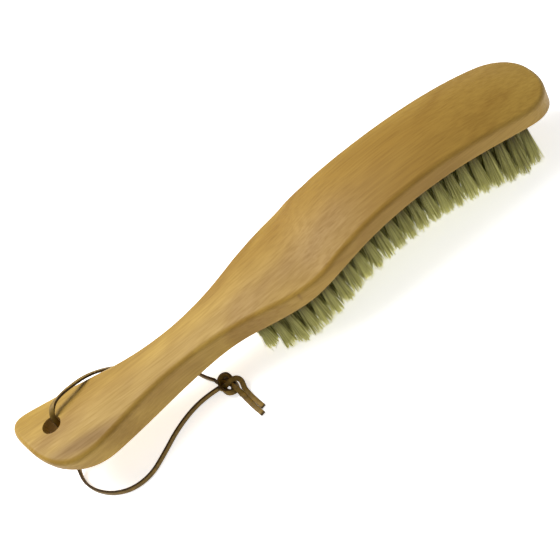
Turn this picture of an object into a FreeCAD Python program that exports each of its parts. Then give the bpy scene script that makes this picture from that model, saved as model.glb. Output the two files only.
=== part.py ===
import FreeCAD, Part
import math
import os

# Clothes brush: a one-piece wooden body with an arched head and a waisted handle, bristle tufts held in
# blind holes by flat wire anchors, and a flat leather thong through a hanging hole.
# Millimetres. +X runs from the handle end to the nose of the head, +Z is up, and Z = 0 is the surface
# that the trimmed tufts stand on. X = 0 is halfway along the body.

V = FreeCAD.Vector

# ---------------------------------------------------------------- driving dimensions of the wooden body
NOSE_TO_SHOULDER = 161.0      # head, from its rounded nose to its widest place
SHOULDER_TO_WAIST = 89.0
WAIST_TO_END = 100.0          # handle, from its narrowest place to its end
HEAD_HALF_WIDTH = 26.5
SHOULDER_HALF_WIDTH = 29.7
WAIST_HALF_WIDTH = 13.9
END_HALF_WIDTH = 28.9         # long side of the slanted handle end
END_SHORT_HALF_WIDTH = 24.4   # short side of the slanted handle end
NOSE_LENGTH = 27.0            # length of the rounded nose
NOSE_FULLNESS = 2.3           # exponent of the nose's outline, 2 would be an ellipse

ARCH_RADIUS = 250.0           # side view, both faces of the head
ARCH_CROWN_TO_NOSE = 95.5
UNDER_CROWN_HEIGHT = 42.2     # bristle face above the resting surface, at the crown of the arch
HEAD_EDGE_THICKNESS = 11.1
SHOULDER_BLEND = 12.0         # the arch of the head starts this far past the shoulder
WAIST_DROP = 15.2             # underside of the waist below the bristle face where the arch starts
WAIST_THICKNESS = 17.7
BELLY_DROP = 1.4              # the grip's belly hangs this far below the waist
END_RISE = 1.4                # top edge of the handle end above the waist's
SHOULDER_RISE = 4.4           # top edge of the shoulder above the waist's
CROWN_RADIUS = 95.0           # cross section of the top face
TOP_EDGE_RADIUS = 3.2
UNDER_EDGE_RADIUS = 1.2
END_SLANT = 0.45              # the handle end runs back this much for each millimetre across
END_SLANT_OFFSET = 15.0       # where the slant leaves the very end, towards the long side
END_WALL = 5.0                # thickness left at the rim of the handle end
END_SWEEP_LENGTH = 24.0       # the underside sweeps up to that rim over this length
END_SWEEP_POWER = 2.2         # how late it sweeps up
END_SWEEP_LIMIT = 1.4         # share of the sweep at which the surface past the rim stays as it is

# ---------------------------------------------------------------- hanging hole
HANG_HOLE_DIAMETER = 11.4
HANG_HOLE_TO_END = 22.3
HANG_HOLE_OFFSET = 5.4        # towards the long side of the end
HANG_HOLE_EDGE_RADIUS = 0.8

# ---------------------------------------------------------------- tufts and anchors
RANKS = 23                    # zigzag ranks of tufts, from the handle side to the nose
FIELD_START_TO_SHOULDER = 42.5
FIELD_END_TO_NOSE = 25.5
ROW_EDGE_MARGIN = 6.0         # outer tuft centres inside the edge of the head
TUFT_HOLE_DIAMETER = 5.0
TUFT_HOLE_DEPTH = 8.0
TUFT_HOLE_CLEARANCE = 0.2     # round the root of a tuft
TUFT_GAP = 0.6                # between the tips of neighbouring tufts
TUFT_TIP_DIAMETER = 7.4       # where there is room for it
TUFT_SPLAY = 0.14             # tips lean out by this share of their distance from the middle
TRIM_HEIGHT = 16.0            # trimmed tips above the resting surface, in the middle of the arch
TRIM_CROWN_TO_SHOULDER = 52.0
TRIM_RADIUS = 166.0
TRIM_START_LIFT = 12.0        # tips of the first rank stand this high
TRIM_START_LENGTH = 16.5
TRIM_END_LIFT = 2.0
TRIM_END_LENGTH = 4.5

ANCHOR_END_CLEARANCE = 0.01   # between the corners of an anchor and the wall of its hole
ANCHOR_WIRE_THICKNESS = 0.5
ANCHOR_WIRE_WIDTH = 1.4
ANCHOR_BELOW_HOLE_END = 0.9
ANCHOR_CLEARANCE = 0.1        # between an anchor and the bristles folded over it

# ---------------------------------------------------------------- leather thong
THONG_DIAMETER = 3.0          # the flat thong's width; the plain strand is a round tube of that size
BEND_SHARE = 0.45             # each bend takes this share of the shorter run beside it
KNOT_LENGTH = 17.0
KNOT_WIDTH = 13.6
KNOT_HEIGHT = 7.0
TAIL_WIDTH = 2.8
TAIL_THICKNESS = 1.7
TAIL_FLOOR_GAP = 0.1

# The far strand leaves the top of the hanging hole, goes over the long side of the handle and comes back
# under it to the knot. The near strand leaves the bottom of the hole and lies in front of the handle.
FAR_STRAND = [
    (-150.3, 6.1, 34.0), (-150.4, 6.8, 39.8), (-149.6, 9.8, 45.2), (-145.6, 14.8, 47.4),
    (-138.6, 17.6, 48.2), (-130.6, 20.6, 47.2), (-122.6, 24.4, 43.8), (-115.6, 28.0, 38.0),
    (-109.6, 31.6, 29.6), (-104.0, 34.6, 19.6), (-98.0, 36.2, 9.6), (-90.4, 34.6, 2.6),
    (-82.4, 28.0, 1.8), (-78.2, 18.0, 1.7), (-75.8, 7.6, 1.7), (-72.2, -1.0, 1.9), (-68.4, -7.2, 2.6),
]
NEAR_STRAND = [
    (-150.3, 6.1, 34.0), (-151.3, 5.1, 28.6), (-153.6, 4.4, 20.6), (-157.6, 4.4, 12.0),
    (-161.6, 3.2, 4.6), (-163.4, -3.4, 1.8), (-162.0, -11.6, 1.7), (-157.4, -20.4, 1.7),
    (-149.6, -28.8, 1.7), (-138.8, -34.4, 1.7), (-126.2, -34.0, 1.7), (-114.4, -26.8, 1.7),
    (-102.0, -18.6, 1.7), (-89.0, -13.2, 1.7), (-77.0, -12.0, 2.0), (-68.4, -13.4, 2.6),
]
KNOT_CENTRE = (-62.3, -14.6)
TAIL_ROOTS = {"thong_tail_long": (-60.3, -22.4), "thong_tail_short": (-57.1, -22.4)}
TAIL_ENDS = {"thong_tail_long": (-58.2, -45.6), "thong_tail_short": (-54.8, -41.6)}

# ---------------------------------------------------------------- places worked out from the dimensions
NOSE_X = (NOSE_TO_SHOULDER + SHOULDER_TO_WAIST + WAIST_TO_END) / 2
SHOULDER_X = NOSE_X - NOSE_TO_SHOULDER
WAIST_X = SHOULDER_X - SHOULDER_TO_WAIST
END_X = WAIST_X - WAIST_TO_END
CROWN_X = NOSE_X - ARCH_CROWN_TO_NOSE
NOSE_START_X = NOSE_X - NOSE_LENGTH
FIELD_START_X = SHOULDER_X - FIELD_START_TO_SHOULDER
FIELD_END_X = NOSE_X - FIELD_END_TO_NOSE
TUFT_PITCH = (FIELD_END_X - FIELD_START_X) / (RANKS - 1)
HANG_HOLE_X = END_X + HANG_HOLE_TO_END
BLEND_X = SHOULDER_X + SHOULDER_BLEND

# ---------------------------------------------------------------- construction values
SURFACE_MARGIN = 12.0         # the two face surfaces run this far past the outline before they are trimmed
SURFACE_STEPS_ALONG = 44
SURFACE_STEPS_ACROSS = 8
ARCH_STATIONS = 7
RIM_PROBES = (0.37, 0.81)     # shares of an edge's length at which it is compared with a face
RIM_TOLERANCE = 0.1           # share of the rim's radius
HOLE_EDGE_TOLERANCE = 0.2


def smooth(stations, x):
    """Height or width at x on a smooth line through the stations, each (x, value)."""
    last = len(stations) - 1
    k = 0
    while k < last - 1 and x > stations[k + 1][0]:
        k += 1
    (x0, v0), (x1, v1) = stations[k], stations[k + 1]
    xa, va = stations[max(k - 1, 0)]
    xb, vb = stations[min(k + 2, last)]
    slope0 = (v1 - va) / (x1 - xa)
    slope1 = (vb - v0) / (xb - x0)
    step = x1 - x0
    t = (x - x0) / step
    rise = (2 * t - 3) * t * t
    start_term = (1 + rise) * v0 + (t * t - 2 * t + 1) * t * step * slope0
    end_term = -rise * v1 + (t - 1) * t * t * step * slope1
    return start_term + end_term


def between(a, b, share):
    return a + (b - a) * share


def arch(x):
    """Drop of the arch below its crown."""
    return (x - CROWN_X) ** 2 / (2 * ARCH_RADIUS)


# Half widths along the two sides, as shares of the stretches between the named widths.
SIDE_HALF_WIDTHS = [
    (between(END_X, WAIST_X, 0.50), between(WAIST_HALF_WIDTH, END_SHORT_HALF_WIDTH, 0.76)),
    (between(END_X, WAIST_X, 0.71), between(WAIST_HALF_WIDTH, END_SHORT_HALF_WIDTH, 0.29)),
    (WAIST_X, WAIST_HALF_WIDTH),
    (between(WAIST_X, SHOULDER_X, 0.23), between(WAIST_HALF_WIDTH, SHOULDER_HALF_WIDTH, 0.08)),
    (between(WAIST_X, SHOULDER_X, 0.45), between(WAIST_HALF_WIDTH, SHOULDER_HALF_WIDTH, 0.32)),
    (between(WAIST_X, SHOULDER_X, 0.68), between(WAIST_HALF_WIDTH, SHOULDER_HALF_WIDTH, 0.70)),
    (between(WAIST_X, SHOULDER_X, 0.87), between(WAIST_HALF_WIDTH, SHOULDER_HALF_WIDTH, 0.95)),
    (SHOULDER_X, SHOULDER_HALF_WIDTH),
    (between(SHOULDER_X, NOSE_START_X, 0.16), between(HEAD_HALF_WIDTH, SHOULDER_HALF_WIDTH, 0.64)),
    (between(SHOULDER_X, NOSE_START_X, 0.40), between(HEAD_HALF_WIDTH, SHOULDER_HALF_WIDTH, 0.12)),
    (between(SHOULDER_X, NOSE_START_X, 0.70), HEAD_HALF_WIDTH),
    (NOSE_START_X, HEAD_HALF_WIDTH),
]
HALF_WIDTHS = [
    (END_X, END_HALF_WIDTH),
    (between(END_X, WAIST_X, 0.27), END_SHORT_HALF_WIDTH),
] + SIDE_HALF_WIDTHS

# Top edge of the body in side view: a nearly level handle that turns up slightly at its end, a tight
# hollow just past the shoulder, and the arch of the head.
TOP_CROWN_HEIGHT = UNDER_CROWN_HEIGHT + HEAD_EDGE_THICKNESS
WAIST_UNDER_HEIGHT = UNDER_CROWN_HEIGHT - arch(BLEND_X) - WAIST_DROP
WAIST_TOP_HEIGHT = WAIST_UNDER_HEIGHT + WAIST_THICKNESS
END_TOP_HEIGHT = WAIST_TOP_HEIGHT + END_RISE
SHOULDER_TOP_HEIGHT = WAIST_TOP_HEIGHT + SHOULDER_RISE
ARCH_XS = [between(BLEND_X, NOSE_X + SURFACE_MARGIN, (k + 1) / ARCH_STATIONS) for k in range(ARCH_STATIONS)]
TOP_HEIGHTS = [
    (END_X - SURFACE_MARGIN, END_TOP_HEIGHT + 0.3),
    (END_X, END_TOP_HEIGHT),
    (between(END_X, WAIST_X, 0.5), WAIST_TOP_HEIGHT - 0.5),
    (WAIST_X, WAIST_TOP_HEIGHT),
    (between(WAIST_X, SHOULDER_X, 0.35), WAIST_TOP_HEIGHT + 1.2),
    (between(WAIST_X, SHOULDER_X, 0.62), WAIST_TOP_HEIGHT + 2.5),
    (between(WAIST_X, SHOULDER_X, 0.84), WAIST_TOP_HEIGHT + 2.9),
    (SHOULDER_X, SHOULDER_TOP_HEIGHT),
    (BLEND_X, TOP_CROWN_HEIGHT - arch(BLEND_X) - 0.6),
]
TOP_HEIGHTS += [(x, TOP_CROWN_HEIGHT - arch(x)) for x in ARCH_XS]

# Underside of the body in side view: the grip's belly, and the arched bristle face.
BELLY_HEIGHT = WAIST_UNDER_HEIGHT - BELLY_DROP
UNDER_HEIGHTS = [
    (END_X - SURFACE_MARGIN, BELLY_HEIGHT + 9.0),
    (END_X, BELLY_HEIGHT + 8.0),
    (between(END_X, WAIST_X, 0.35), BELLY_HEIGHT + 4.1),
    (between(END_X, WAIST_X, 0.72), BELLY_HEIGHT),
    (WAIST_X, WAIST_UNDER_HEIGHT),
    (between(WAIST_X, SHOULDER_X, 0.34), WAIST_UNDER_HEIGHT + 4.7),
    (between(WAIST_X, SHOULDER_X, 0.68), WAIST_UNDER_HEIGHT + 7.5),
    (SHOULDER_X - 6, WAIST_UNDER_HEIGHT + 10.7),
    (BLEND_X, UNDER_CROWN_HEIGHT - arch(BLEND_X) - 0.4),
]
UNDER_HEIGHTS += [(x, UNDER_CROWN_HEIGHT - arch(x)) for x in ARCH_XS]


def half_width(x):
    return smooth(HALF_WIDTHS, min(max(x, END_X), NOSE_START_X))


def top_height(x, y):
    """Crowned top face: highest in the middle, at the side view's height along its edge."""
    return smooth(TOP_HEIGHTS, x) + (half_width(x) ** 2 - y * y) / (2 * CROWN_RADIUS)


def under_height(x, y):
    """Underside, flat across, which sweeps up to a thin rim along the slanted handle end."""
    plain = smooth(UNDER_HEIGHTS, x)
    inward = x - END_X - END_SLANT * (END_SLANT_OFFSET - y)
    left = min(max(1 - inward / END_SWEEP_LENGTH, 0.0), END_SWEEP_LIMIT)
    rim = smooth(TOP_HEIGHTS, x) - END_WALL
    return plain + (rim - plain) * left ** END_SWEEP_POWER


def face_surface(height):
    """A smooth surface z = height(x, y) over the whole body."""
    length = NOSE_X - END_X + 2 * SURFACE_MARGIN
    reach = max(SHOULDER_HALF_WIDTH, END_HALF_WIDTH, HEAD_HALF_WIDTH) + SURFACE_MARGIN
    ys = [reach * (2 * j / SURFACE_STEPS_ACROSS - 1) for j in range(SURFACE_STEPS_ACROSS + 1)]
    grid = []
    for i in range(SURFACE_STEPS_ALONG + 1):
        x = END_X - SURFACE_MARGIN + length * i / SURFACE_STEPS_ALONG
        grid.append([V(x, y, height(x, y)) for y in ys])
    surface = Part.BSplineSurface()
    surface.interpolate(grid)
    return surface.toShape()


def nose_half_width(x):
    share = (x - NOSE_START_X) / NOSE_LENGTH
    return HEAD_HALF_WIDTH * (1 - share ** NOSE_FULLNESS) ** (1 / NOSE_FULLNESS)


def outline():
    """Plan outline as one closed smooth curve: near side, slanted handle end, far side, nose."""
    nose_xs = [NOSE_START_X + NOSE_LENGTH * share for share in (0.40, 0.68, 0.87, 0.97)]
    near = [(NOSE_X, 0.0)]
    near += [(x, -nose_half_width(x)) for x in reversed(nose_xs)]
    near += [(x, -w) for x, w in reversed(SIDE_HALF_WIDTHS)]
    short, long = END_SHORT_HALF_WIDTH, END_HALF_WIDTH
    # Shares of the handle's length from its end, and the place across: round the short corner, along
    # the slanted end, and round the long corner.
    corner_points = [
        (0.37, -short + 0.2), (0.30, -short), (0.24, -short + 0.8), (0.185, -short + 3.2),
        (0.14, -short + 6.9), (0.10, -short + 12.4), (0.065, long - 33.9), (0.038, long - 25.9),
        (0.014, long - 17.9), (0.0, long - 9.5), (0.008, long - 4.2), (0.039, long - 0.8),
        (0.09, long), (0.17, long - 0.9), (0.27, long - 2.7), (0.39, long - 4.7),
    ]
    end = [(between(END_X, WAIST_X, share), y) for share, y in corner_points]
    far = list(SIDE_HALF_WIDTHS)
    far += [(x, nose_half_width(x)) for x in nose_xs]
    curve = Part.BSplineCurve()
    curve.interpolate([V(x, y, 0) for x, y in near + end + far], PeriodicFlag=True)
    return Part.Wire(curve.toShape())


def rim_edges(body, height, radius):
    """The edges where a face of the body meets its side wall."""
    found = []
    for edge in body.Edges:
        first, last = edge.FirstParameter, edge.LastParameter
        probes = [edge.valueAt(between(first, last, share)) for share in RIM_PROBES]
        on_face = max(abs(p.z - height(p.x, p.y)) for p in probes) < radius * RIM_TOLERANCE
        if on_face and edge.Length > HEAD_HALF_WIDTH:
            found.append(edge)
    return found


def rank_tufts(rank):
    """Root places of one zigzag rank, each (x, y): four tufts, then three set back by half a pitch."""
    places = []
    x = FIELD_START_X + rank * TUFT_PITCH
    reach = half_width(x) - ROW_EDGE_MARGIN
    places += [(x, reach * share) for share in (-1, -1 / 3, 1 / 3, 1)]
    if rank < RANKS - 1:
        x += TUFT_PITCH / 2
        reach = half_width(x) - ROW_EDGE_MARGIN
        places += [(x, reach * share) for share in (-2 / 3, 0, 2 / 3)]
    return places


def hole_end_height(x, y):
    return under_height(x, y) + TUFT_HOLE_DEPTH


def anchor_box(x, y, clearance):
    """Flat wire across a tuft hole. With a clearance it is the slot that the bristles leave for it."""
    length = math.sqrt(TUFT_HOLE_DIAMETER ** 2 - ANCHOR_WIRE_THICKNESS ** 2) - 2 * ANCHOR_END_CLEARANCE
    top = hole_end_height(x, y) - ANCHOR_BELOW_HOLE_END + clearance
    wide = ANCHOR_WIRE_THICKNESS + 2 * clearance
    tall = ANCHOR_WIRE_WIDTH + 2 * clearance
    return Part.makeBox(wide, length, tall, V(x - wide / 2, y - length / 2, top - tall))


def tip_height(x):
    """Trim line of the tufts: an arch that is cut flat at the resting surface."""
    arch_x = SHOULDER_X + TRIM_CROWN_TO_SHOULDER
    height = max(0.0, TRIM_HEIGHT - (x - arch_x) ** 2 / (2 * TRIM_RADIUS))
    before = (FIELD_START_X + TRIM_START_LENGTH - x) / TRIM_START_LENGTH
    after = (x - FIELD_END_X + TRIM_END_LENGTH) / TRIM_END_LENGTH
    height += TRIM_START_LIFT * max(before, 0.0) ** 2
    height += TRIM_END_LIFT * max(after, 0.0) ** 2
    return height


def tuft_tip_radius(x):
    """Tips fill the room between their neighbours, less the gap."""
    spacing = (half_width(x) - ROW_EDGE_MARGIN) / 3 * (1 + TUFT_SPLAY)
    room = min(TUFT_PITCH, math.hypot(TUFT_PITCH / 2, spacing))
    return min(TUFT_TIP_DIAMETER, room - TUFT_GAP) / 2


def tuft(x, y):
    """A bundle: straight root in its hole, then flared and leaning out to its trimmed tip."""
    root_radius = TUFT_HOLE_DIAMETER / 2 - TUFT_HOLE_CLEARANCE
    hole_radius = TUFT_HOLE_DIAMETER / 2
    mouth = min(under_height(x - hole_radius, y), under_height(x + hole_radius, y)) - TUFT_HOLE_CLEARANCE
    root_top = hole_end_height(x, y) - TUFT_HOLE_CLEARANCE
    tip = V(x, y * (1 + TUFT_SPLAY), tip_height(x))
    rings = [
        Part.Wire(Part.makeCircle(root_radius, V(x, y, root_top))),
        Part.Wire(Part.makeCircle(root_radius, V(x, y, mouth))),
        Part.Wire(Part.makeCircle(tuft_tip_radius(x), tip)),
    ]
    return Part.makeLoft(rings, True, True).cut(anchor_box(x, y, ANCHOR_CLEARANCE))


def wooden_body(places):
    """Prism of the outline between the two faces, with rounded rims, the hanging hole and tuft holes."""
    prism = Part.Face(outline()).extrude(V(0, 0, TOP_CROWN_HEIGHT + SURFACE_MARGIN * 2))
    down = V(0, 0, -2 * TOP_CROWN_HEIGHT)
    body = prism.common(face_surface(top_height).extrude(down))
    body = body.cut(face_surface(under_height).extrude(down))
    body = body.makeFillet(TOP_EDGE_RADIUS, rim_edges(body, top_height, TOP_EDGE_RADIUS))
    body = body.makeFillet(UNDER_EDGE_RADIUS, rim_edges(body, under_height, TOP_EDGE_RADIUS))
    radius = HANG_HOLE_DIAMETER / 2
    body = body.cut(Part.makeCylinder(radius, 2 * TOP_CROWN_HEIGHT, V(HANG_HOLE_X, HANG_HOLE_OFFSET, 0)))
    hole_rims = [e for e in body.Edges if abs(e.BoundBox.XLength - 2 * radius) < HOLE_EDGE_TOLERANCE
                 and abs(e.BoundBox.YLength - 2 * radius) < HOLE_EDGE_TOLERANCE]
    body = body.makeFillet(HANG_HOLE_EDGE_RADIUS, hole_rims)
    cutters = []
    for x, y in places:
        end = hole_end_height(x, y)
        start = V(x, y, end)
        cutters.append(Part.makeCylinder(TUFT_HOLE_DIAMETER / 2, TUFT_HOLE_DEPTH * 2, start, V(0, 0, -1)))
    return body.cut(cutters)


def strand(points, name):
    """Round tube of the thong's width: straight runs joined by arcs as large as the runs allow."""
    corners = [V(*p) for p in points]
    edges, radii = [], []
    start = corners[0]
    for before, corner, after in zip(corners, corners[1:], corners[2:]):
        along_in = (before - corner).normalize()
        along_out = (after - corner).normalize()
        half_turn = (math.pi - along_in.getAngle(along_out)) / 2
        setback = BEND_SHARE * min((before - corner).Length, (after - corner).Length)
        radius = setback / math.tan(half_turn)
        arc_start = corner + along_in * setback
        arc_end = corner + along_out * setback
        inner = (along_in + along_out).normalize()
        middle = corner + inner * (radius / math.cos(half_turn) - radius)
        edges.append(Part.LineSegment(start, arc_start).toShape())
        edges.append(Part.Arc(arc_start, middle, arc_end).toShape())
        radii.append(radius)
        start = arc_end
    edges.append(Part.LineSegment(start, corners[-1]).toShape())
    path = Part.Wire(edges)
    section = Part.Wire(Part.makeCircle(THONG_DIAMETER / 2, corners[0], corners[1] - corners[0]))
    tube = path.makePipeShell([section], True, False)
    wanted = math.pi * (THONG_DIAMETER / 2) ** 2 * path.Length
    share = tube.Volume / wanted
    print(name, "length %.1f mm, volume %.4f of its section times its length" % (path.Length, share))
    print(name, "bend radii", " ".join("%.1f" % r for r in radii))
    return tube


def knot():
    """The knot's outer shape, resting on the surface."""
    ball = Part.makeSphere(1.0)
    scale = FreeCAD.Matrix()
    scale.scale(KNOT_WIDTH / 2, KNOT_LENGTH / 2, KNOT_HEIGHT / 2)
    shape = ball.transformGeometry(scale)
    shape.translate(V(KNOT_CENTRE[0], KNOT_CENTRE[1], KNOT_HEIGHT / 2 + TAIL_FLOOR_GAP))
    return shape


def tail(name):
    """A flat end of the thong, from the knot outwards along the resting surface."""
    root = V(*TAIL_ROOTS[name], TAIL_FLOOR_GAP)
    end = V(*TAIL_ENDS[name], TAIL_FLOOR_GAP)
    side = (end - root).cross(V(0, 0, 1)).normalize() * (TAIL_WIDTH / 2)
    corners = [root - side, root + side, end + side, end - side, root - side]
    return Part.Face(Part.makePolygon(corners)).extrude(V(0, 0, TAIL_THICKNESS))


def write(name, shape):
    shape.exportStep("parts/" + name + ".step")
    print(name, "solids", len(shape.Solids), "valid", shape.isValid(), "volume %.1f" % shape.Volume)


def main():
    os.makedirs("parts", exist_ok=True)
    ranks = [rank_tufts(rank) for rank in range(RANKS)]
    write("brush_body", wooden_body([place for rank in ranks for place in rank]))
    for number, places in enumerate(ranks, 1):
        write("tuft_rank_%02d" % number, Part.Compound([tuft(x, y) for x, y in places]))
        write("anchor_rank_%02d" % number, Part.Compound([anchor_box(x, y, 0.0) for x, y in places]))
    lump = knot()
    far = strand(FAR_STRAND, "thong_far_strand")
    near = strand(NEAR_STRAND, "thong_near_strand")
    write("thong_far_strand", far.cut(lump))
    write("thong_near_strand", near.cut(lump))
    write("thong_knot", lump)
    for name in TAIL_ROOTS:
        write(name, tail(name).cut(lump))


main()
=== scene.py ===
import math

import bpy
import numpy as np
from bpy.props import FloatProperty, FloatVectorProperty, IntProperty, PointerProperty
from mathutils import Matrix, Vector


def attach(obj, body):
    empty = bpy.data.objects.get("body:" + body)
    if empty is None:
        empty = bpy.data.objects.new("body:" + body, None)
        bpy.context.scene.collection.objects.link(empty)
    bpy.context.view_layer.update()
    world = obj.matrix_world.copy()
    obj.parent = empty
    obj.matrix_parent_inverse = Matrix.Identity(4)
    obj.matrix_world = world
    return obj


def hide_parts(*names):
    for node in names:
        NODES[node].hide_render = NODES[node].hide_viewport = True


bl_info = {
    "name": "Clothes Brush",
    "version": (1, 0, 0),
    "blender": (4, 5, 0),
    "location": "View3D > Sidebar > Clothes Brush",
    "description": "Dresses the clothes brush: oiled wood, bristle tufts and a knotted leather thong",
    "category": "Add Mesh",
}

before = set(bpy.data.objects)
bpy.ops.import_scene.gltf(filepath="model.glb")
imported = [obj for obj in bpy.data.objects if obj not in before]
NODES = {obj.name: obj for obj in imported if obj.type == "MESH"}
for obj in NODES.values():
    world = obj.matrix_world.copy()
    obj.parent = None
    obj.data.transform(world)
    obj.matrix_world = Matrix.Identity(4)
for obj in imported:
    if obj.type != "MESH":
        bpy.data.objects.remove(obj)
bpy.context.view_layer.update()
MM = 0.001

# The thong's two routes, in metres: out of the top of the hanging hole and over the long side of the
# handle, and out of the bottom of the hole and round in front of the handle.
FAR_ROUTE = [
    (-0.1503, 0.0061, 0.0340), (-0.1504, 0.0068, 0.0392), (-0.1500, 0.0088, 0.0438),
    (-0.1474, 0.0126, 0.0458), (-0.1430, 0.0154, 0.0460), (-0.1374, 0.0172, 0.0454),
    (-0.1312, 0.0190, 0.0436), (-0.1254, 0.0210, 0.0412), (-0.1198, 0.0232, 0.0370),
    (-0.1140, 0.0258, 0.0306), (-0.1082, 0.0292, 0.0216), (-0.1016, 0.0326, 0.0114),
    (-0.0928, 0.0332, 0.0034), (-0.0834, 0.0278, 0.0018), (-0.0784, 0.0180, 0.0017),
    (-0.0758, 0.0076, 0.0017), (-0.0722, -0.0010, 0.0019), (-0.0684, -0.0072, 0.0026),
]
NEAR_ROUTE = [
    (-0.1503, 0.0061, 0.0340), (-0.1513, 0.0051, 0.0286), (-0.1536, 0.0044, 0.0206),
    (-0.1576, 0.0044, 0.0120), (-0.1616, 0.0032, 0.0046), (-0.1634, -0.0034, 0.0018),
    (-0.1620, -0.0112, 0.0017), (-0.1574, -0.0196, 0.0017), (-0.1496, -0.0276, 0.0017),
    (-0.1388, -0.0328, 0.0017), (-0.1262, -0.0326, 0.0017), (-0.1144, -0.0260, 0.0017),
    (-0.1020, -0.0182, 0.0017), (-0.0890, -0.0132, 0.0017), (-0.0770, -0.0120, 0.0020),
    (-0.0684, -0.0134, 0.0026),
]

# Which way the thong's width points along a route, each (share of the length, direction).
FAR_TURNS = [
    (0.00, (0.75, 0.65, 0.0)), (0.10, (0.75, 0.3, 0.1)), (0.25, (0.5, -0.85, 0.2)),
    (0.42, (0.45, -0.8, 0.2)), (0.56, (0.85, -0.2, 0.4)), (0.72, (0.4, 0.0, 0.9)),
    (1.00, (0.0, 0.0, 1.0)),
]
NEAR_TURNS = [
    (0.00, (0.45, 0.85, 0.0)), (0.14, (0.3, 0.7, 0.3)), (0.28, (0.0, 0.1, 1.0)), (1.00, (0.0, 0.0, 1.0)),
]

# The knot, in metres: two rings round both strands, and two loops that lead the strands into the tails.
KNOT_WRAPS = {
    "knot_outer_ring": [
        (-0.0592, -0.0160, 0.0048), (-0.0604, -0.0112, 0.0056), (-0.0640, -0.0092, 0.0052),
        (-0.0672, -0.0114, 0.0044), (-0.0678, -0.0166, 0.0042), (-0.0664, -0.0214, 0.0046),
        (-0.0634, -0.0232, 0.0040), (-0.0606, -0.0222, 0.0026), (-0.0594, -0.0192, 0.0020),
    ],
    "knot_inner_ring": [
        (-0.0612, -0.0148, 0.0026), (-0.0626, -0.0112, 0.0024), (-0.0656, -0.0112, 0.0024),
        (-0.0664, -0.0150, 0.0024), (-0.0654, -0.0200, 0.0024), (-0.0630, -0.0216, 0.0024),
        (-0.0612, -0.0196, 0.0040),
    ],
}
KNOT_BANDS = {
    "knot_near_loop": [
        (-0.0690, -0.0148, 0.0026), (-0.0664, -0.0158, 0.0034), (-0.0634, -0.0170, 0.0054),
        (-0.0600, -0.0172, 0.0064), (-0.0570, -0.0180, 0.0062), (-0.0556, -0.0204, 0.0050),
        (-0.0564, -0.0232, 0.0034), (-0.0572, -0.0262, 0.0018),
    ],
    "knot_far_loop": [
        (-0.0688, -0.0086, 0.0028), (-0.0660, -0.0106, 0.0032), (-0.0632, -0.0140, 0.0034),
        (-0.0616, -0.0182, 0.0042), (-0.0604, -0.0218, 0.0050), (-0.0600, -0.0246, 0.0030),
        (-0.0600, -0.0270, 0.0016),
    ],
}

# The two tails, in metres, from the knot to their cut ends.
TAILS = {
    "thong_tail_long": [
        (-0.0600, -0.0246, 0.0022), (-0.0592, -0.0310, 0.0012), (-0.0577, -0.0390, 0.0010),
        (-0.0561, -0.0456, 0.0011),
    ],
    "thong_tail_short": [
        (-0.0570, -0.0236, 0.0022), (-0.0564, -0.0300, 0.0012), (-0.0550, -0.0366, 0.0010),
        (-0.0538, -0.0418, 0.0011),
    ],
}


# ---------------------------------------------------------------- sizes and colours that a user can change
class StageSettings(bpy.types.PropertyGroup):
    camera_place: FloatVectorProperty(
        name="Camera place", description="Where the camera stands", default=(0.0020, -0.4154, 0.4740),
        subtype="TRANSLATION", unit="LENGTH")
    camera_target: FloatVectorProperty(
        name="Camera target", description="The point in the middle of the view",
        default=(-0.0045, 0.0006, 0.0279), subtype="TRANSLATION", unit="LENGTH")
    camera_roll: FloatProperty(
        name="Camera roll", description="How far the camera is turned about its line of sight",
        default=math.radians(38.22), subtype="ANGLE", unit="ROTATION")
    camera_lens: FloatProperty(name="Lens", description="Focal length in millimetres", default=70.59, min=1.0)
    floor_size: FloatProperty(
        name="Floor size", description="Side of the square floor", default=6.0, unit="LENGTH")
    floor_color: FloatVectorProperty(
        name="Floor colour", description="Colour of the floor", default=(0.96, 0.96, 0.96), subtype="COLOR")
    sky_strength: FloatProperty(
        name="Sky strength", description="Light from all round", default=0.29, min=0.0)
    floor_glow: FloatProperty(
        name="Floor glow", description="Light that the bright floor gives off", default=0.68, min=0.0)


class WoodSettings(bpy.types.PropertyGroup):
    pale: FloatVectorProperty(
        name="Pale wood", description="Colour of the early wood", default=(0.450, 0.286, 0.056),
        subtype="COLOR")
    deep: FloatVectorProperty(
        name="Deep wood", description="Colour of the late wood", default=(0.360, 0.220, 0.040),
        subtype="COLOR")
    streak: FloatVectorProperty(
        name="Grip streak", description="Colour of the one dark streak on the grip",
        default=(0.225, 0.118, 0.014), subtype="COLOR")
    # The warm colour is the wood's orange-brown figure, and is also painted over the head as shade.
    warm: FloatVectorProperty(
        name="Warm wood", description="Colour of the orange-brown figure", default=(0.272, 0.148, 0.022),
        subtype="COLOR")
    roughness: FloatProperty(name="Roughness", description="Roughness of the oiled face", default=0.48,
                             min=0.0, max=1.0, subtype="FACTOR")


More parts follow.
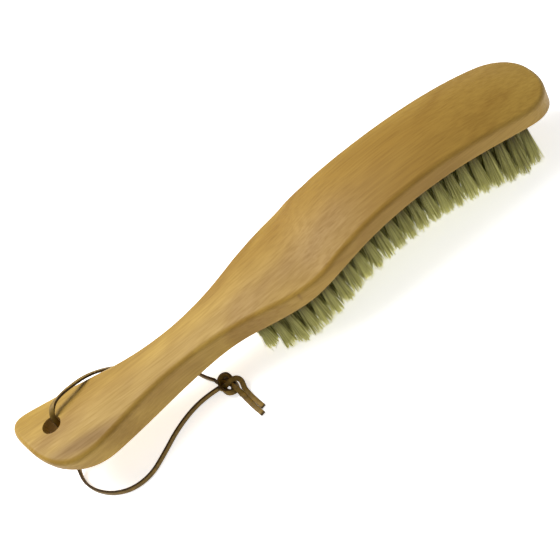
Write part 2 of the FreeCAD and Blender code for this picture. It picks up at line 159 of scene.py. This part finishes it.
class BristleSettings(bpy.types.PropertyGroup):
    per_tuft: IntProperty(name="Bristles in a tuft", description="How many bristles each tuft shows",
                          default=200, min=20)
    thickness: FloatProperty(name="Bristle thickness", description="Diameter of one bristle",
                             default=0.34 * MM, unit="LENGTH")
    hole_depth: FloatProperty(name="Hole depth", description="How deep a tuft stands in the wood",
                              default=8.0 * MM, unit="LENGTH")
    root_spread: FloatProperty(name="Root spread", description="Radius of a tuft in its hole",
                               default=1.9 * MM, unit="LENGTH")
    tip_spread: FloatProperty(name="Tip spread", description="Radius of a tuft at its tips",
                              default=4.2 * MM, unit="LENGTH")
    lean: FloatProperty(
        name="Lean", description="How far the tips lean out, as a share of their place across",
        default=0.07, min=0.0)
    ragged: FloatProperty(name="Ragged tips", description="How uneven the tips are", default=1.1 * MM,
                          unit="LENGTH")
    sweep: FloatVectorProperty(
        name="Sweep", description="How far the tips are swept, from half of this to one and a half times",
        default=(-0.6 * MM, 0.0, 0.0), subtype="TRANSLATION", unit="LENGTH")
    # Painted shade: the dark colour down between the bristles, where little light reaches.
    root_shade_color: FloatVectorProperty(
        name="Root colour", description="Colour down between the bristles", default=(0.170, 0.130, 0.010),
        subtype="COLOR")
    tip_color: FloatVectorProperty(
        name="Tip colour", description="Colour of the trimmed tips", default=(0.940, 0.910, 0.320),
        subtype="COLOR")


class ThongSettings(bpy.types.PropertyGroup):
    width: FloatProperty(name="Width", description="Width of the flat thong", default=3.0 * MM, unit="LENGTH")
    thickness: FloatProperty(name="Thickness", description="Thickness of the flat thong",
                             default=1.5 * MM, unit="LENGTH")
    face_color: FloatVectorProperty(
        name="Face colour", description="Colour of the leather's two faces", default=(0.190, 0.112, 0.015),
        subtype="COLOR")
    edge_color: FloatVectorProperty(
        name="Cut edge colour", description="Colour of the leather's cut edges",
        default=(0.070, 0.036, 0.005), subtype="COLOR")


class BrushSettings(bpy.types.PropertyGroup):
    stage: PointerProperty(type=StageSettings, name="Stage", description="Floor, light and camera")
    wood: PointerProperty(type=WoodSettings, name="Wood", description="The wooden body")
    bristles: PointerProperty(type=BristleSettings, name="Bristles", description="The bristle tufts")
    thong: PointerProperty(type=ThongSettings, name="Thong", description="The leather thong")


# ---------------------------------------------------------------- helpers for materials
def new_material(name):
    """An empty node material, its tree, and its surface shader."""
    material = bpy.data.materials.new(name)
    material.use_nodes = True
    return material, material.node_tree, material.node_tree.nodes["Principled BSDF"]


def object_pattern(tree, kind, scale, stretch=(1.0, 1.0, 1.0), place=(0.0, 0.0, 0.0), turn=(0.0, 0.0, 0.0)):
    """A pattern node on the piece's own coordinates, stretched along its axes."""
    coordinates = tree.nodes.new("ShaderNodeTexCoord")
    mapping = tree.nodes.new("ShaderNodeMapping")
    mapping.vector_type = "TEXTURE"
    mapping.inputs["Location"].default_value = place
    mapping.inputs["Rotation"].default_value = turn
    mapping.inputs["Scale"].default_value = stretch
    pattern = tree.nodes.new(kind)
    if "Scale" in pattern.inputs:
        pattern.inputs["Scale"].default_value = scale
    tree.links.new(coordinates.outputs["Object"], mapping.inputs["Vector"])
    tree.links.new(mapping.outputs["Vector"], pattern.inputs["Vector"])
    return pattern


def ramp(tree, source, stops):
    """A ramp from the source's value to grey or colour stops, each (position, colour)."""
    node = tree.nodes.new("ShaderNodeValToRGB")
    elements = node.color_ramp.elements
    while len(elements) < len(stops):
        elements.new(0.5)
    for element, (position, color) in zip(elements, stops):
        element.position = position
        element.color = (*color, 1.0)
    tree.links.new(source, node.inputs["Fac"])
    return node.outputs["Color"]


MIX_FACTOR, MIX_FIRST, MIX_SECOND, MIX_RESULT = 0, 6, 7, 2     # a colour mix's sockets, by number


def mix(tree, blend, factor, first, second):
    """A colour mix. The factor and the two colours are sockets or plain values."""
    node = tree.nodes.new("ShaderNodeMix")
    node.data_type = "RGBA"
    node.blend_type = blend
    for number, value in ((MIX_FACTOR, factor), (MIX_FIRST, first), (MIX_SECOND, second)):
        if isinstance(value, bpy.types.NodeSocket):
            tree.links.new(value, node.inputs[number])
        elif number == MIX_FACTOR:
            node.inputs[number].default_value = value
        else:
            node.inputs[number].default_value = (*value, 1.0)
    return node.outputs[MIX_RESULT]


def bump(tree, shader, height, strength, distance):
    """Gives the surface small hollows and ridges from a height."""
    node = tree.nodes.new("ShaderNodeBump")
    node.inputs["Strength"].default_value = strength
    node.inputs["Distance"].default_value = distance
    tree.links.new(height, node.inputs["Height"])
    tree.links.new(node.outputs["Normal"], shader.inputs["Normal"])


def grey(value):
    """A grey, as a colour."""
    return (value, value, value)


# The wood's patterns. A scale is in cells to the metre, and a stretch is along, across and down the brush.
FIGURE_SCALE = 24.0
FIGURE_STRETCH = (5.0, 0.7, 1.0)
CLOUD_SCALE = 46.0
CLOUD_STRETCH = (2.6, 0.8, 1.0)
CLOUD_PLACE = (0.3, 0.1, 0.2)
CLOUD_TURN = math.radians(24.0)
CLOUD_SHARE = 0.74
GRAIN_SCALE = 900.0
GRAIN_STRETCH = (22.0, 1.0, 1.0)
GRAIN_SHARE = 0.9

# Soft-edged spots on the wood, in metres: the middle of each, and how far it reaches.
# The head's spot is painted shade: the head is darker and warmer because the light falls off towards the
# nose.
HEAD_SHADE_PLACE = (0.070, -0.006, 0.050)
HEAD_SHADE_REACH = (0.125, 0.075, 0.060)
HEAD_SHADE_SHARE = 0.72
STREAK_PLACE = (-0.1400, -0.0176, 0.041)
STREAK_REACH = (0.036, 0.0066, 0.030)
STREAK_TURN = math.radians(-6.0)
STREAK_SHARE = 0.95
PIN_PLACE = (-0.0014, -0.0285, 0.044)
PIN_REACH = (0.0016, 0.0010, 0.010)
PIN_SHARE = 0.6
PIN_COLOR = (0.16, 0.08, 0.02)
SPOT_CORE = 0.7               # a spot has its full share from this part of the way in


def spotted(tree, color, spot_color, share, place, reach, turn=0.0):
    """The colour with one soft-edged spot of another colour on it, for the grip's streak, the pin's dark spot
    and the painted shade over the head.
    """
    spot = object_pattern(tree, "ShaderNodeTexGradient", 1.0, stretch=reach, place=place,
                          turn=(0.0, 0.0, turn))
    spot.gradient_type = "SPHERICAL"
    strength = ramp(tree, spot.outputs["Fac"], [(0.0, grey(0.0)), (SPOT_CORE, grey(share))])
    return mix(tree, "MIX", strength, color, spot_color)


def wood_material(wood):
    """Oiled pale hardwood: grain along the brush, soft figure, painted shade that makes the head darker and
    warmer, and one streak on the grip.
    """
    material, tree, shader = new_material("oiled_pale_wood")
    figure = object_pattern(tree, "ShaderNodeTexNoise", FIGURE_SCALE, stretch=FIGURE_STRETCH)
    figure.inputs["Detail"].default_value = 3.0
    figure.inputs["Distortion"].default_value = 0.6
    color = ramp(tree, figure.outputs["Fac"], [(0.34, tuple(wood.deep)), (0.64, tuple(wood.pale))])

    cloud = object_pattern(tree, "ShaderNodeTexNoise", CLOUD_SCALE, stretch=CLOUD_STRETCH, place=CLOUD_PLACE,
                           turn=(0.0, 0.0, CLOUD_TURN))
    cloud.inputs["Detail"].default_value = 2.0
    warm_share = ramp(tree, cloud.outputs["Fac"], [(0.45, grey(0.0)), (0.66, grey(CLOUD_SHARE))])
    color = mix(tree, "MIX", warm_share, color, tuple(wood.warm))

    # Painted shade: the head is darkened towards the warm colour where the light falls off towards the nose.
    color = spotted(tree, color, tuple(wood.warm), HEAD_SHADE_SHARE, HEAD_SHADE_PLACE, HEAD_SHADE_REACH)
    color = spotted(tree, color, tuple(wood.streak), STREAK_SHARE, STREAK_PLACE, STREAK_REACH, STREAK_TURN)

    grain = object_pattern(tree, "ShaderNodeTexNoise", GRAIN_SCALE, stretch=GRAIN_STRETCH)
    grain.inputs["Detail"].default_value = 4.0
    lines = ramp(tree, grain.outputs["Fac"], [(0.30, (0.80, 0.77, 0.70)), (0.62, grey(1.0))])
    color = mix(tree, "MULTIPLY", GRAIN_SHARE, color, lines)
    color = spotted(tree, color, PIN_COLOR, PIN_SHARE, PIN_PLACE, PIN_REACH)
    tree.links.new(color, shader.inputs["Base Color"])

    rough = ramp(tree, grain.outputs["Fac"], [
        (0.3, grey(wood.roughness + 0.08)), (0.7, grey(wood.roughness - 0.04))])
    tree.links.new(rough, shader.inputs["Roughness"])
    shader.inputs["Specular IOR Level"].default_value = 0.22
    bump(tree, shader, grain.outputs["Fac"], 0.12, 0.0002)
    return material


def bristle_material(bristles):
    """Pale natural bristle with painted shade darkening it towards the root, down between the bristles, each
    bristle its own tone.
    """
    material, tree, shader = new_material("natural_bristle")
    along = tree.nodes.new("ShaderNodeAttribute")
    along.attribute_name = "along"
    shade = tree.nodes.new("ShaderNodeAttribute")
    shade.attribute_name = "shade"
    root, tip = tuple(bristles.root_shade_color), tuple(bristles.tip_color)
    middle = tuple((a + 2 * b) / 3 for a, b in zip(root, tip))
    # Painted shade: the colour darkens from tip to root, where shade falls down between the bristles.
    color = ramp(tree, along.outputs["Fac"], [(0.30, root), (0.62, middle), (1.0, tip)])
    tone = ramp(tree, shade.outputs["Fac"], [
        (0.0, (0.30, 0.28, 0.16)), (0.70, (0.9, 0.9, 0.85)), (1.0, grey(1.0))])
    color = mix(tree, "MULTIPLY", 1.0, color, tone)
    tree.links.new(color, shader.inputs["Base Color"])
    shader.inputs["Roughness"].default_value = 0.42
    shader.inputs["Specular IOR Level"].default_value = 0.4
    return material


LEATHER_DARK = 0.62            # the leather's darkest and lightest places, as shares of its colour
LEATHER_LIGHT = 1.22


def leather_material(name, color, bump_strength):
    """Oiled leather with a fine uneven surface."""
    material, tree, shader = new_material(name)
    mottle = object_pattern(tree, "ShaderNodeTexNoise", 420.0)
    mottle.inputs["Detail"].default_value = 5.0
    dark = tuple(value * LEATHER_DARK for value in color)
    light = tuple(value * LEATHER_LIGHT for value in color)
    mottled = ramp(tree, mottle.outputs["Fac"], [(0.3, dark), (0.7, light)])
    tree.links.new(mottled, shader.inputs["Base Color"])
    shader.inputs["Roughness"].default_value = 0.55
    shader.inputs["Specular IOR Level"].default_value = 0.25
    pores = object_pattern(tree, "ShaderNodeTexNoise", 2600.0)
    bump(tree, shader, pores.outputs["Fac"], bump_strength, 0.0002)
    return material


def wire_material():
    """Flat drawn steel wire."""
    material, tree, shader = new_material("anchor_wire")
    drawn = object_pattern(tree, "ShaderNodeTexNoise", 2000.0, stretch=(1.0, 20.0, 1.0))
    color = ramp(tree, drawn.outputs["Fac"], [(0.3, (0.42, 0.41, 0.39)), (0.7, (0.60, 0.59, 0.56))])
    tree.links.new(color, shader.inputs["Base Color"])
    shader.inputs["Metallic"].default_value = 1.0
    shader.inputs["Roughness"].default_value = 0.38
    bump(tree, shader, drawn.outputs["Fac"], 0.15, 0.0001)
    return material


# ---------------------------------------------------------------- helpers for shapes
def new_piece(name, points, faces, materials):
    """A mesh object from points and faces, smooth, with its materials."""
    mesh = bpy.data.meshes.new(name)
    mesh.from_pydata([tuple(p) for p in points], [], faces)
    for material in materials:
        mesh.materials.append(material)
    mesh.shade_smooth()
    piece = bpy.data.objects.new(name, mesh)
    bpy.context.scene.collection.objects.link(piece)
    return piece


ROUTE_STEPS = 10               # points on a route's line for each of its control points
SAME_PLACE = 1e-6


def spline_line(points, closed=False):
    """Points along a smooth spline that has the given points as its control points."""
    curve = bpy.data.curves.new("route", "CURVE")
    curve.dimensions = "3D"
    spline = curve.splines.new("NURBS")
    spline.points.add(len(points) - 1)
    for control, point in zip(spline.points, points):
        control.co = (*point, 1.0)
    spline.order_u = 3
    spline.use_cyclic_u = closed
    spline.use_endpoint_u = not closed
    spline.resolution_u = ROUTE_STEPS
    carrier = bpy.data.objects.new("route", curve)
    bpy.context.scene.collection.objects.link(carrier)
    bpy.context.view_layer.update()
    mesh = bpy.data.meshes.new_from_object(carrier)
    line = [vertex.co.copy() for vertex in mesh.vertices]
    bpy.data.objects.remove(carrier)
    bpy.data.curves.remove(curve)
    bpy.data.meshes.remove(mesh)
    return [p for p, q in zip(line, [None] + line[:-1]) if q is None or (p - q).length > SAME_PLACE]


def turn_at(turns, share):
    """The width's direction at a share of the length, between the given turns."""
    for (a, first), (b, second) in zip(turns, turns[1:]):
        if share <= b:
            step = (share - a) / (b - a)
            return Vector(first).lerp(Vector(second), max(0.0, step))
    return Vector(turns[-1][1])


STRAP_CORNER = 0.28 * MM
STRAP_CORNER_STEPS = 3
EDGE_BAND = 0.6 * STRAP_CORNER     # sides of the section this near the end of its width are cut edge


def strap_section(width, thickness):
    """Rounded oblong section of the flat thong, each (across the width, across the thickness)."""
    section = []
    half_w, half_t = width / 2 - STRAP_CORNER, thickness / 2 - STRAP_CORNER
    for quarter, (sx, sy) in enumerate(((1, 1), (-1, 1), (-1, -1), (1, -1))):
        for step in range(STRAP_CORNER_STEPS):
            angle = math.pi / 2 * (quarter + step / (STRAP_CORNER_STEPS - 1))
            section.append((sx * half_w + STRAP_CORNER * math.cos(angle),
                            sy * half_t + STRAP_CORNER * math.sin(angle)))
    return section


def strap(name, line, turns, thong, materials, closed=False):
    """The flat thong along a line: faces take the first material, cut edges the second."""
    section = strap_section(thong.width, thong.thickness)
    count, around = len(line), len(section)
    travelled = [0.0]
    for a, b in zip(line, line[1:]):
        travelled.append(travelled[-1] + (b - a).length)
    points = []
    for i, place in enumerate(line):
        before = line[i - 1] if i or closed else line[i]
        after = line[(i + 1) % count] if i < count - 1 or closed else line[i]
        along = (after - before).normalized()
        wide = turn_at(turns, travelled[i] / travelled[-1])
        wide = (wide - along * wide.dot(along)).normalized()
        thick = along.cross(wide)
        points += [place + wide * a + thick * b for a, b in section]
    faces = []
    rings = count if closed else count - 1
    for i in range(rings):
        a, b = i * around, (i + 1) % count * around
        faces += [(a + j, a + (j + 1) % around, b + (j + 1) % around, b + j) for j in range(around)]
    if not closed:
        faces.append(tuple(reversed(range(around))))
        faces.append(tuple(range((count - 1) * around, count * around)))
    piece = new_piece(name, points, faces, materials)
    for polygon in piece.data.polygons:
        if polygon.index >= rings * around:
            polygon.material_index = 1
            continue
        j = polygon.index % around
        a, b = section[j], section[(j + 1) % around]
        polygon.material_index = 1 if abs(a[0] + b[0]) / 2 > thong.width / 2 - EDGE_BAND else 0
    return piece


def face_outwards(piece):
    """Turns every face of a closed shape outwards."""
    bpy.ops.object.select_all(action="DESELECT")
    piece.select_set(True)
    bpy.context.view_layer.objects.active = piece
    bpy.ops.object.mode_set(mode="EDIT")
    bpy.ops.mesh.select_all(action="SELECT")
    bpy.ops.mesh.normals_make_consistent(inside=False)
    bpy.ops.object.mode_set(mode="OBJECT")
    piece.select_set(False)


# ---------------------------------------------------------------- operators
KEY_PLACE = Vector((-0.42, 0.44, 0.94))     # the light faces the brush's middle from here
KEY_SIZE = 0.7
KEY_POWER = 18.3


class BRUSH_OT_stage(bpy.types.Operator):
    """Adds the camera, the pale floor and the soft light"""
    bl_idname = "brush.stage"
    bl_label = "Stage"

    def execute(self, context):
        stage = context.scene.brush.stage
        place, target = Vector(stage.camera_place), Vector(stage.camera_target)
        back = (place - target).normalized()
        across = Vector((0.0, 0.0, 1.0)).cross(back).normalized()
        upwards = back.cross(across)
        c, s = math.cos(stage.camera_roll), math.sin(stage.camera_roll)
        right, top = c * across - s * upwards, s * across + c * upwards
        camera = bpy.data.objects.new("camera", bpy.data.cameras.new("camera"))
        camera.data.lens = stage.camera_lens
        camera.data.clip_start = 0.01
        camera.matrix_world = Matrix.Translation(place) @ Matrix((right, top, back)).transposed().to_4x4()
        context.scene.collection.objects.link(camera)
        context.scene.camera = camera
        context.scene.view_settings.view_transform = "Standard"

        bpy.ops.object.select_all(action="DESELECT")
        bpy.ops.mesh.primitive_plane_add(size=stage.floor_size)
        floor = context.active_object
        floor.name = "floor"
        material, _, shader = new_material("pale_floor")
        shader.inputs["Base Color"].default_value = (*stage.floor_color, 1.0)
        shader.inputs["Roughness"].default_value = 0.9
        shader.inputs["Emission Color"].default_value = (*stage.floor_color, 1.0)
        shader.inputs["Emission Strength"].default_value = stage.floor_glow
        floor.data.materials.append(material)

        world = bpy.data.worlds.new("studio")
        world.use_nodes = True
        sky = world.node_tree.nodes["Background"]
        sky.inputs["Color"].default_value = (1.0, 1.0, 1.0, 1.0)
        sky.inputs["Strength"].default_value = stage.sky_strength
        context.scene.world = world

        light = bpy.data.lights.new("key", "AREA")
        light.size = KEY_SIZE
        light.energy = KEY_POWER
        lamp = bpy.data.objects.new("key", light)
        lamp.matrix_world = Matrix.Translation(KEY_PLACE) @ (
            KEY_PLACE.to_track_quat("Z", "Y").to_matrix().to_4x4())
        context.scene.collection.objects.link(lamp)
        return {"FINISHED"}


class BRUSH_OT_thong(bpy.types.Operator):
    """Adds the flat leather thong, its knot and its two tails"""
    bl_idname = "brush.thong"
    bl_label = "Leather thong"

    def execute(self, context):
        thong = context.scene.brush.thong
        leather = [leather_material("thong_face", tuple(thong.face_color), 0.25),
                   leather_material("thong_cut_edge", tuple(thong.edge_color), 0.5)]
        far_line, near_line = spline_line(FAR_ROUTE), spline_line(NEAR_ROUTE)
        far = strap("far_strand", far_line, FAR_TURNS, thong, leather)
        near = strap("near_strand", near_line, NEAR_TURNS, thong, leather)
        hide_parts("thong_far_strand")
        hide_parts("thong_near_strand")

        on_edge = [(0.0, (0.0, 0.55, 0.85)), (1.0, (0.0, 0.55, 0.85))]
        leaning = [(0.0, (0.0, 0.0, 1.0)), (0.45, (0.1, 0.9, 0.5)), (0.8, (0.9, 0.3, 0.3)),
                   (1.0, (1.0, 0.1, 0.0))]
        flat = [(0.0, (1.0, 0.1, 0.0)), (1.0, (1.0, 0.1, 0.0))]
        knot = []
        for name, points in KNOT_WRAPS.items():
            knot.append(strap(name, spline_line(points, True), on_edge, thong, leather, closed=True))
        for name, points in KNOT_BANDS.items():
            knot.append(strap(name, spline_line(points), leaning, thong, leather))
        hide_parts("thong_knot")
        tails = []
        for node, points in TAILS.items():
            tails.append(strap(node + "_leather", spline_line(points), flat, thong, leather))
            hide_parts(node)
        for piece in [far, near] + knot + tails:
            face_outwards(piece)
            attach(piece, "root")
        return {"FINISHED"}


class BRUSH_OT_body(bpy.types.Operator):
    """Gives the wooden body its oiled finish"""
    bl_idname = "brush.body"
    bl_label = "Wooden body"

    def execute(self, context):
        body = NODES["brush_body"]
        body.data.materials[0] = wood_material(context.scene.brush.wood)
        return {"FINISHED"}


class BRUSH_OT_anchors(bpy.types.Operator):
    """Gives the wire anchors in the tuft holes their drawn steel finish"""
    bl_idname = "brush.anchors"
    bl_label = "Wire anchors"

    def execute(self, context):
        steel = wire_material()
        for name, node in NODES.items():
            if name.startswith("anchor_rank_"):
                node.data.materials[0] = steel
        return {"FINISHED"}


BRISTLE_SIDES = 3
BRISTLE_RINGS = 6
BRISTLE_TAPER = 0.72           # a bristle's thickness at its tip, as a share of that at its root
ANCHOR_CORNERS = 24            # in the mesh of one anchor
ANCHOR_BELOW_END = 0.9 * MM    # the top of an anchor, below the end of its hole
ROOT_BELOW_ANCHOR = 2.0 * MM   # the bristles start this far below the top of the anchor
TIP_SPLAY = 0.14               # a tuft's tip stands this share further from the middle than its root
TIP_SEARCH = 3.9 * MM          # all of a tuft's tip is this near its middle, and a neighbour's rim may be
REACH_UNEVEN = 0.12            # how uneven the reach of the outer bristles is, as a share
TIP_STRAY = 0.35 * MM          # how far a tip usually strays to any side
EVEN_SWEEP = 0.5               # the share of the sweep that every bristle has
ROUND_OFF = 0.8 * MM           # the outermost tips end this much higher than the middle ones
SHORT_SHARE = 0.06             # this share of the bristles is shorter than the rest,
SHORT_LIFT = 3.0 * MM          # by up to this
TRIM_CLEARANCE = 0.3 * MM      # every bristle ends at least this far above its tuft's lowest point,
FLOOR_CLEARANCE = 0.05 * MM    # and at least this far above the floor
FLARE_POWER = 1.12             # above 1, a tuft flares more near its tips
SEED = 11


def tuft_places(rank):
    """Root place and height of each tuft of a rank, from the anchors in their holes."""
    mesh = NODES["anchor_rank_" + rank].data
    corners = np.array([v.co for v in mesh.vertices]).reshape(-1, ANCHOR_CORNERS, 3)
    return [(*box[:, :2].mean(axis=0), box[:, 2].max()) for box in corners]


def tuft_bristles(place, tips, bristles, chance):
    """Centre lines of one tuft's bristles, as an array of bristle, ring and coordinate."""
    x, y, anchor_top = place
    count = bristles.per_tuft
    own = tips[np.hypot(tips[:, 0] - x, tips[:, 1] - y * (1 + TIP_SPLAY)) < TIP_SEARCH]
    tip_z = own[:, 2].min()
    mouth_z = anchor_top + ANCHOR_BELOW_END - bristles.hole_depth
    spread = np.sqrt(chance.random(count))
    angle = chance.random(count) * 2 * math.pi
    offset = np.stack([spread * np.cos(angle), spread * np.sin(angle)], axis=1)
    loose = chance.random(count) ** 3
    reach = bristles.tip_spread * (1.0 + REACH_UNEVEN * chance.normal(size=count) * spread)
    tip_offset = offset * reach[:, None]
    tip_offset += chance.normal(size=(count, 2)) * TIP_STRAY
    tip_offset += np.array(bristles.sweep[:2]) * (EVEN_SWEEP + loose)[:, None]
    lift = abs(chance.normal(size=count)) * bristles.ragged + spread ** 3 * ROUND_OFF
    lift += (chance.random(count) < SHORT_SHARE) * chance.random(count) * SHORT_LIFT
    end_z = np.maximum(tip_z + lift + TRIM_CLEARANCE, FLOOR_CLEARANCE)
    lines = np.zeros((count, BRISTLE_RINGS, 3))
    root_offset = offset * bristles.root_spread
    lines[:, 0, :2] = np.array([x, y]) + root_offset
    lines[:, 0, 2] = anchor_top - ROOT_BELOW_ANCHOR
    for k in range(1, BRISTLE_RINGS):
        t = (k - 1) / (BRISTLE_RINGS - 2)
        flare = t ** FLARE_POWER
        centre = np.array([x, y * (1 + bristles.lean * t)])
        lines[:, k, :2] = centre + root_offset * (1 - flare) + tip_offset * flare
        lines[:, k, 2] = mouth_z + (end_z - mouth_z) * t
    return lines


class BRUSH_OT_bristles(bpy.types.Operator):
    """Adds the bristles of every rank of tufts"""
    bl_idname = "brush.bristles"
    bl_label = "Bristles"

    def execute(self, context):
        bristles = context.scene.brush.bristles
        material = bristle_material(bristles)
        chance = np.random.default_rng(SEED)
        angles = 2 * math.pi * np.arange(BRISTLE_SIDES) / BRISTLE_SIDES
        circle = np.stack([np.cos(angles), np.sin(angles), np.zeros(BRISTLE_SIDES)], axis=1)
        circle *= bristles.thickness / 2
        taper = np.linspace(1.0, BRISTLE_TAPER, BRISTLE_RINGS)
        for name in sorted(n for n in NODES if n.startswith("tuft_rank_")):
            rank = name[-2:]
            tips = np.array([v.co for v in NODES[name].data.vertices])
            lines = np.concatenate([
                tuft_bristles(place, tips, bristles, chance) for place in tuft_places(rank)])
            count = len(lines)
            rings = lines[:, :, None, :] + circle[None, None] * taper[None, :, None, None]
            points = rings.reshape(-1, 3)
            faces = []
            for b in range(count):
                base = b * BRISTLE_RINGS * BRISTLE_SIDES
                for k in range(BRISTLE_RINGS - 1):
                    low, high = base + k * BRISTLE_SIDES, base + (k + 1) * BRISTLE_SIDES
                    for j in range(BRISTLE_SIDES):
                        nxt = (j + 1) % BRISTLE_SIDES
                        faces.append((low + j, high + j, high + nxt, low + nxt))
                faces.append(tuple(base + j for j in range(BRISTLE_SIDES)))
                end = base + (BRISTLE_RINGS - 1) * BRISTLE_SIDES
                faces.append(tuple(end + j for j in reversed(range(BRISTLE_SIDES))))
            piece = new_piece("bristles_rank_" + rank, points, faces, [material])
            along = np.repeat(np.tile(np.linspace(0.0, 1.0, BRISTLE_RINGS), count), BRISTLE_SIDES)
            shade = np.repeat(chance.random(count), BRISTLE_RINGS * BRISTLE_SIDES)
            for attribute, values in (("along", along), ("shade", shade)):
                layer = piece.data.attributes.new(attribute, "FLOAT", "POINT")
                layer.data.foreach_set("value", values.astype(np.float32))
            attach(piece, "root")
            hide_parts(name)
        return {"FINISHED"}


class BRUSH_PT_panel(bpy.types.Panel):
    """Lists the brush's pieces"""
    bl_idname = "BRUSH_PT_panel"
    bl_label = "Clothes Brush"
    bl_space_type = "VIEW_3D"
    bl_region_type = "UI"
    bl_category = "Clothes Brush"

    def draw(self, context):
        for operator in OPERATORS:
            self.layout.operator(operator.bl_idname)


GROUPS = (StageSettings, WoodSettings, BristleSettings, ThongSettings, BrushSettings)
OPERATORS = (BRUSH_OT_stage, BRUSH_OT_thong, BRUSH_OT_body, BRUSH_OT_anchors, BRUSH_OT_bristles)


def register():
    for group in GROUPS + OPERATORS + (BRUSH_PT_panel,):
        bpy.utils.register_class(group)
    bpy.types.Scene.brush = PointerProperty(type=BrushSettings)


def unregister():
    del bpy.types.Scene.brush
    for group in reversed(GROUPS + OPERATORS + (BRUSH_PT_panel,)):
        bpy.utils.unregister_class(group)


def main():
    register()
    bpy.ops.brush.stage()
    bpy.ops.brush.thong()
    bpy.ops.brush.body()
    bpy.ops.brush.anchors()
    bpy.ops.brush.bristles()
    bpy.context.view_layer.update()


if __name__ == "__main__":
    main()
